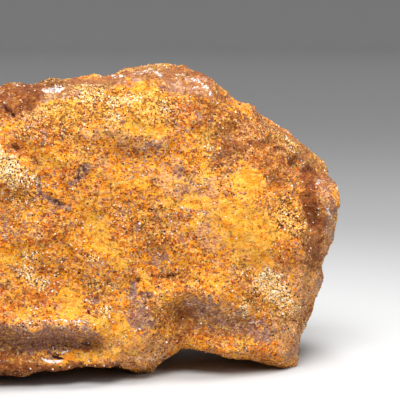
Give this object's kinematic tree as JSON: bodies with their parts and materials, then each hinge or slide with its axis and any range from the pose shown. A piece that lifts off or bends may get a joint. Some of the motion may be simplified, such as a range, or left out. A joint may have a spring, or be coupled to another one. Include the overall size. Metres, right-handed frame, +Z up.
{
  "type": "meteorite",
  "caption": "Rough slab-shaped iron meteorite with a rusted, pitted skin, standing on its long edge on its own flat feet.",
  "frame": {"origin": "on the ground, under the middle of the stone's box", "axes": "+X along the stone's length, towards its pointed end; +Y through its thickness, from the broad front to the back; +Z up"},
  "size_m": [0.1234, 0.0633, 0.0849],
  "materials": {
    "rusted_iron": "weathered skin of orange rust with ochre powder, pale gritty grains, dark pits and worn purple-grey patches"
  },
  "bodies": {
    "root": {"meteorite": "rusted_iron"}
  },
  "joints": []
}
